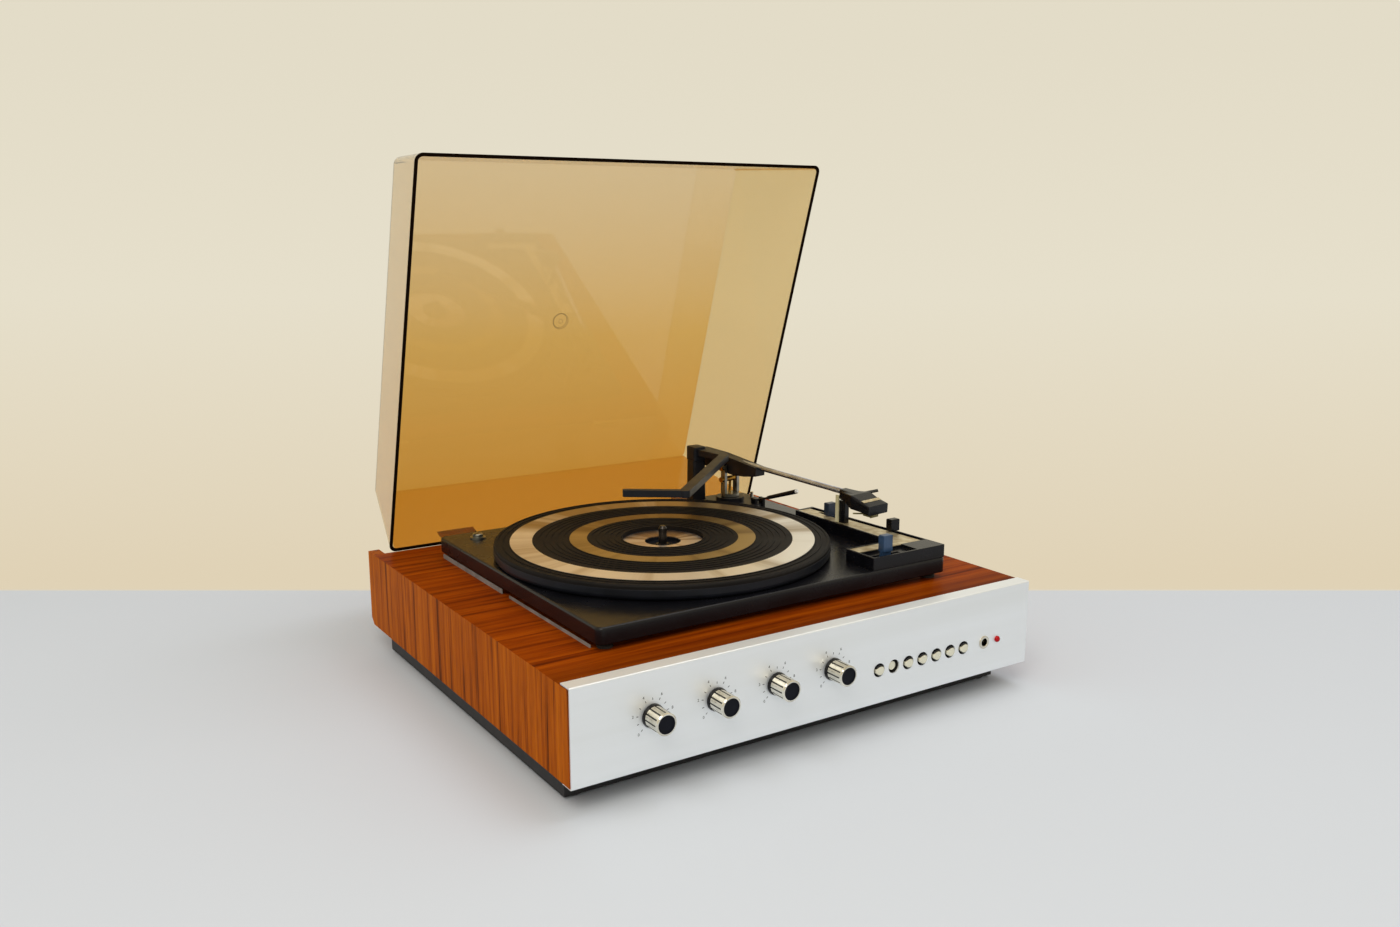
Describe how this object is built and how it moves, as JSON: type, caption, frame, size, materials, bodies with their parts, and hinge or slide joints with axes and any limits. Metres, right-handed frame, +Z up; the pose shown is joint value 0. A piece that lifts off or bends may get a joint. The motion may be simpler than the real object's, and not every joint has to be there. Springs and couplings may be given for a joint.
{
  "type": "record player",
  "caption": "Record player with built-in amplifier: teak cabinet, brushed front panel, automatic deck with tonearm and record steady arm, tilting amber lid.",
  "frame": {"origin": "on the resting surface, under the middle of the player's overall box with the lid open", "axes": "+X to the right as the user faces the front panel, +Y to the rear, +Z up"},
  "size_m": [0.43, 0.4982, 0.4406],
  "materials": {
    "side_panels": "oiled teak veneer",
    "top_panel": "oiled teak veneer",
    "front_baffle": "raw board",
    "fascia_panel": "brushed and anodised",
    "rear_panel": "hardboard",
    "bottom_panel": "hardboard",
    "base_frame": "painted black",
    "rubber_feet": "matte",
    "potentiometers": "plated",
    "switch_bank": "moulded",
    "headphone_socket": "plated",
    "pilot_lamp": "red lens",
    "amplifier_board": "phenolic board",
    "mains_transformer": "laminated core",
    "speaker_sockets": "moulded",
    "mains_inlet_grommet": "matte",
    "deck_plate": "gloss black enamel",
    "deck_mounts": "matte",
    "transit_screw": "plated",
    "spindle": "blackened",
    "platter": "satin black",
    "platter_mat": "ribbed",
    "trim_rings": "worn gold anodised",
    "idler_wheel": "ground tyre",
    "motor_pulley": "turned",
    "drive_motor": "laminated core",
    "control_panel": "black moulding",
    "scale_plates": "printed foil",
    "speed_lever": "blue-black",
    "start_lever": "black",
    "size_lever": "blue",
    "tonearm_base": "black moulding",
    "cue_lever": "sleeved",
    "tonearm_turret": "plated",
    "tonearm_tube": "satin",
    "pivot_housing": "black moulding",
    "headshell": "black moulding",
    "cartridge": "moulded",
    "arm_rest": "black moulding",
    "overarm_post": "black moulding",
    "overarm_rod": "plated",
    "overarm": "satin black",
    "hinge_fixed_leaves": "plated",
    "hinge_lid_leaves": "plated",
    "lid": "amber tinted acrylic",
    "balance_knob": "grooved and plated",
    "balance_knob_cap": "black inset",
    "volume_knob": "grooved and plated",
    "volume_knob_cap": "black inset",
    "treble_knob": "grooved and plated",
    "treble_knob_cap": "black inset",
    "bass_knob": "grooved and plated",
    "bass_knob_cap": "black inset",
    "filter_button": "cream",
    "phono_button": "cream",
    "tape_button": "cream",
    "tuner_button": "cream",
    "aux_button": "cream",
    "mono_button": "cream",
    "power_button": "cream"
  },
  "bodies": {
    "cabinet": {"side_panels": "side_panels", "top_panel": "top_panel", "front_baffle": "front_baffle", "fascia_panel": "fascia_panel", "rear_panel": "rear_panel", "bottom_panel": "bottom_panel", "base_frame": "base_frame", "rubber_feet": "rubber_feet", "potentiometers": "potentiometers", "switch_bank": "switch_bank", "headphone_socket": "headphone_socket", "pilot_lamp": "pilot_lamp", "amplifier_board": "amplifier_board", "mains_transformer": "mains_transformer", "speaker_sockets": "speaker_sockets", "mains_inlet_grommet": "mains_inlet_grommet", "deck_plate": "deck_plate", "deck_mounts": "deck_mounts", "transit_screw": "transit_screw", "spindle": "spindle", "drive_motor": "drive_motor", "control_panel": "control_panel", "scale_plates": "scale_plates", "tonearm_base": "tonearm_base", "arm_rest": "arm_rest", "overarm_post": "overarm_post", "hinge_fixed_leaves": "hinge_fixed_leaves"},
    "platter": {"platter": "platter", "platter_mat": "platter_mat", "trim_rings": "trim_rings"},
    "idler_wheel": {"idler_wheel": "idler_wheel"},
    "motor_pulley": {"motor_pulley": "motor_pulley"},
    "tonearm_turret": {"tonearm_turret": "tonearm_turret"},
    "tonearm": {"tonearm_tube": "tonearm_tube", "pivot_housing": "pivot_housing", "headshell": "headshell", "cartridge": "cartridge"},
    "cue_lever": {"cue_lever": "cue_lever"},
    "speed_lever": {"speed_lever": "speed_lever"},
    "start_lever": {"start_lever": "start_lever"},
    "size_lever": {"size_lever": "size_lever"},
    "overarm_rod": {"overarm_rod": "overarm_rod"},
    "overarm": {"overarm": "overarm"},
    "lid": {"lid": "lid", "hinge_lid_leaves": "hinge_lid_leaves"},
    "balance_knob": {"balance_knob": "balance_knob", "balance_knob_cap": "balance_knob_cap"},
    "volume_knob": {"volume_knob": "volume_knob", "volume_knob_cap": "volume_knob_cap"},
    "treble_knob": {"treble_knob": "treble_knob", "treble_knob_cap": "treble_knob_cap"},
    "bass_knob": {"bass_knob": "bass_knob", "bass_knob_cap": "bass_knob_cap"},
    "filter_button": {"filter_button": "filter_button"},
    "phono_button": {"phono_button": "phono_button"},
    "tape_button": {"tape_button": "tape_button"},
    "tuner_button": {"tuner_button": "tuner_button"},
    "aux_button": {"aux_button": "aux_button"},
    "mono_button": {"mono_button": "mono_button"},
    "power_button": {"power_button": "power_button"}
  },
  "joints": [
    {"name": "balance_turn", "type": "hinge", "parent": "cabinet", "child": "balance_knob", "pos_m": [-0.152, -0.23142, 0.0588], "axis": [0, 1, 0], "range_deg": [-150, 150]},
    {"name": "volume_turn", "type": "hinge", "parent": "cabinet", "child": "volume_knob", "pos_m": [-0.0998, -0.23142, 0.0588], "axis": [0, 1, 0], "range_deg": [-150, 150]},
    {"name": "treble_turn", "type": "hinge", "parent": "cabinet", "child": "treble_knob", "pos_m": [-0.0476, -0.23142, 0.0588], "axis": [0, 1, 0], "range_deg": [-150, 150]},
    {"name": "bass_turn", "type": "hinge", "parent": "cabinet", "child": "bass_knob", "pos_m": [0.0046, -0.23142, 0.0588], "axis": [0, 1, 0], "range_deg": [-150, 150]},
    {"name": "filter_press", "type": "slide", "parent": "cabinet", "child": "filter_button", "axis": [0, 1, 0], "range_m": [0, 0.004], "stiffness_N_per_m": 250, "springref_m": -0.003},
    {"name": "phono_press", "type": "slide", "parent": "cabinet", "child": "phono_button", "axis": [0, 1, 0], "range_m": [-0.004, 0]},
    {"name": "tape_press", "type": "slide", "parent": "cabinet", "child": "tape_button", "axis": [0, 1, 0], "range_m": [0, 0.004], "stiffness_N_per_m": 250, "springref_m": -0.003},
    {"name": "tuner_press", "type": "slide", "parent": "cabinet", "child": "tuner_button", "axis": [0, 1, 0], "range_m": [0, 0.004], "stiffness_N_per_m": 250, "springref_m": -0.003},
    {"name": "aux_press", "type": "slide", "parent": "cabinet", "child": "aux_button", "axis": [0, 1, 0], "range_m": [0, 0.004], "stiffness_N_per_m": 250, "springref_m": -0.003},
    {"name": "mono_press", "type": "slide", "parent": "cabinet", "child": "mono_button", "axis": [0, 1, 0], "range_m": [0, 0.004], "stiffness_N_per_m": 250, "springref_m": -0.003},
    {"name": "power_press", "type": "slide", "parent": "cabinet", "child": "power_button", "axis": [0, 1, 0], "range_m": [0, 0.004], "stiffness_N_per_m": 250, "springref_m": -0.003},
    {"name": "platter_spin", "type": "hinge", "parent": "cabinet", "child": "platter", "pos_m": [-0.0224, -0.03392, 0.1176], "axis": [0, 0, 1], "continuous": true},
    {"name": "idler_spin", "type": "hinge", "parent": "cabinet", "child": "idler_wheel", "pos_m": [-0.1213, 0.02318, 0.1119], "axis": [0, 0, 1], "continuous": true},
    {"name": "pulley_spin", "type": "hinge", "parent": "cabinet", "child": "motor_pulley", "pos_m": [-0.1076, -0.00055, 0.1119], "axis": [0, 0, 1], "continuous": true},
    {"name": "tonearm_swing", "type": "hinge", "parent": "cabinet", "child": "tonearm_turret", "pos_m": [0.123, 0.07458, 0.1465], "axis": [0, 0, 1], "range_deg": [-45, 0]},
    {"name": "tonearm_lift", "type": "hinge", "parent": "tonearm_turret", "child": "tonearm", "pos_m": [0.123, 0.07458, 0.1465], "axis": [0.9903, 0.1386, 0], "range_deg": [-20, 0]},
    {"name": "cue_lift", "type": "hinge", "parent": "cabinet", "child": "cue_lever", "pos_m": [0.141, 0.05158, 0.1154], "axis": [1, 0, 0], "range_deg": [0, 12]},
    {"name": "speed_select", "type": "slide", "parent": "cabinet", "child": "speed_lever", "axis": [0, 1, 0], "range_m": [-0.01, 0.01]},
    {"name": "start_select", "type": "slide", "parent": "cabinet", "child": "start_lever", "axis": [0, 1, 0], "range_m": [-0.01, 0.01]},
    {"name": "size_select", "type": "slide", "parent": "cabinet", "child": "size_lever", "axis": [1, 0, 0], "range_m": [-0.01, 0.01]},
    {"name": "overarm_raise", "type": "slide", "parent": "cabinet", "child": "overarm_rod", "axis": [0, 0, 1], "range_m": [0, 0.02]},
    {"name": "overarm_swing", "type": "hinge", "parent": "overarm_rod", "child": "overarm", "pos_m": [0.1, 0.10108, 0.1524], "axis": [0, 0, 1], "range_deg": [-45, 0]},
    {"name": "lid_tilt", "type": "hinge", "parent": "cabinet", "child": "lid", "pos_m": [0, 0.15283, 0.0941], "axis": [1, 0, 0], "range_deg": [0, 72]}
  ],
  "couplings": [
    {"joint": "idler_spin", "follows": "platter_spin", "ratio": 5.7708},
    {"joint": "pulley_spin", "follows": "platter_spin", "ratio": -44.677}
  ]
}
